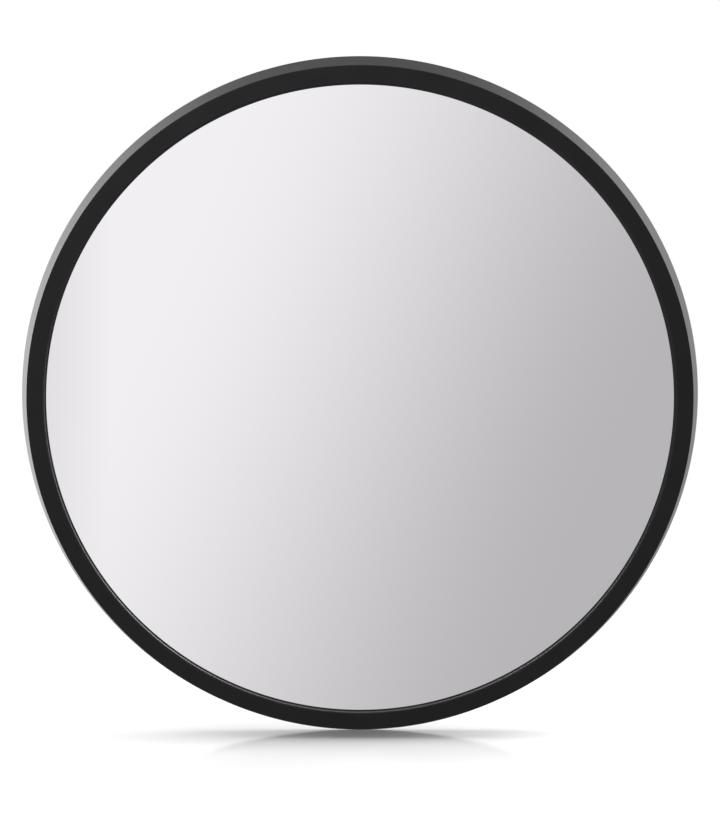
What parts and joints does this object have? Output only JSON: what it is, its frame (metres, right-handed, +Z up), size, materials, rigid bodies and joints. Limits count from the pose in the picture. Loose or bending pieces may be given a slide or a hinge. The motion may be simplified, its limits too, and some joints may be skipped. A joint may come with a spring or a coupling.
{
  "type": "convex security mirror",
  "caption": "Round convex security mirror in a black moulded rim, on a telescopic wall arm with a swing pivot and a friction ball joint.",
  "frame": {"origin": "centre of the wall plate's back face, which lies on the wall", "axes": "+Z up, +Y into the wall, the mirror faces -Y, +X to the right of someone who looks at the mirror"},
  "size_m": [0.45, 0.2859, 0.45],
  "materials": {
    "black_abs": "satin black moulded ABS with a very fine spark-eroded grain",
    "mirror_acrylic": "second-surface mirrored acrylic, polished",
    "black_rubber": "matt black EPDM",
    "grey_foam": "closed-cell foam strip, matt",
    "zinc_steel": "bright zinc plating, lightly brushed",
    "black_steel": "black powder coat, fine texture",
    "polished_steel": "ground and polished ball",
    "natural_nylon": "unfilled natural nylon, satin",
    "black_nylon": "glass-filled black nylon, matt"
  },
  "bodies": {
    "wall_bracket": {"wall_plate": "black_steel", "pivot_bolt": "zinc_steel", "pivot_nut": "zinc_steel", "bolt_washer": "zinc_steel", "nut_washer": "zinc_steel", "friction_washer_upper": "natural_nylon", "friction_washer_lower": "natural_nylon"},
    "outer_arm": {"arm_knuckle": "black_steel", "outer_tube": "black_steel", "tube_pin": "zinc_steel", "guide_bush": "black_nylon"},
    "clamp_screw": {"clamp_screw": "zinc_steel"},
    "clamp_knob": {"clamp_knob": "black_nylon"},
    "inner_arm": {"inner_tube": "zinc_steel", "tail_guide": "natural_nylon", "end_insert": "zinc_steel", "ball_stud": "polished_steel", "stud_locknut": "zinc_steel"},
    "seat_ring": {"ball_seat_ring": "natural_nylon"},
    "friction_pad": {"friction_pad": "natural_nylon"},
    "mirror_head": {"front_bezel": "black_abs", "mirror_dome": "mirror_acrylic", "dome_gasket": "black_rubber", "foam_ring": "grey_foam", "rear_cover": "black_abs", "backing_plate": "zinc_steel", "socket_housing": "black_nylon", "cover_screw_1": "zinc_steel", "cover_screw_2": "zinc_steel", "cover_screw_3": "zinc_steel", "cover_screw_4": "zinc_steel", "cover_screw_5": "zinc_steel", "cover_screw_6": "zinc_steel", "cover_screw_7": "zinc_steel", "cover_screw_8": "zinc_steel", "socket_screw_1": "zinc_steel", "socket_screw_2": "zinc_steel", "socket_screw_3": "zinc_steel", "socket_screw_4": "zinc_steel", "socket_nut_1": "zinc_steel", "socket_nut_2": "zinc_steel", "socket_nut_3": "zinc_steel", "socket_nut_4": "zinc_steel"},
    "lock_collar": {"lock_collar": "black_nylon"}
  },
  "joints": [
    {"name": "arm_swing", "type": "hinge", "parent": "wall_bracket", "child": "outer_arm", "pos_m": [0, -0.022, 0], "axis": [0, 0, 1], "range_deg": [-25, 25]},
    {"name": "arm_extend", "type": "slide", "parent": "outer_arm", "child": "inner_arm", "axis": [0, -1, 0], "range_m": [0, 0.055]},
    {"name": "clamp_turn", "type": "hinge", "parent": "clamp_screw", "child": "clamp_knob", "pos_m": [0, -0.126, 0], "axis": [0, 0, -1], "range_deg": [0, 360]},
    {"name": "clamp_travel", "type": "slide", "parent": "outer_arm", "child": "clamp_screw", "axis": [0, 0, -1], "range_m": [0, 0.0011]},
    {"name": "mirror_pan", "type": "hinge", "parent": "inner_arm", "child": "seat_ring", "pos_m": [0, -0.194, 0], "axis": [0, 0, 1], "range_deg": [-25, 25]},
    {"name": "mirror_tilt", "type": "hinge", "parent": "seat_ring", "child": "friction_pad", "pos_m": [0, -0.194, 0], "axis": [1, 0, 0], "range_deg": [-25, 25]},
    {"name": "mirror_spin", "type": "hinge", "parent": "friction_pad", "child": "mirror_head", "pos_m": [0, -0.194, 0], "axis": [0, 1, 0], "continuous": true},
    {"name": "collar_turn", "type": "hinge", "parent": "mirror_head", "child": "lock_collar", "pos_m": [0, -0.194, 0], "axis": [0, 1, 0], "range_deg": [0, 60]}
  ],
  "couplings": [
    {"joint": "clamp_travel", "follows": "clamp_turn", "m_per_rad": 0.00015915}
  ]
}
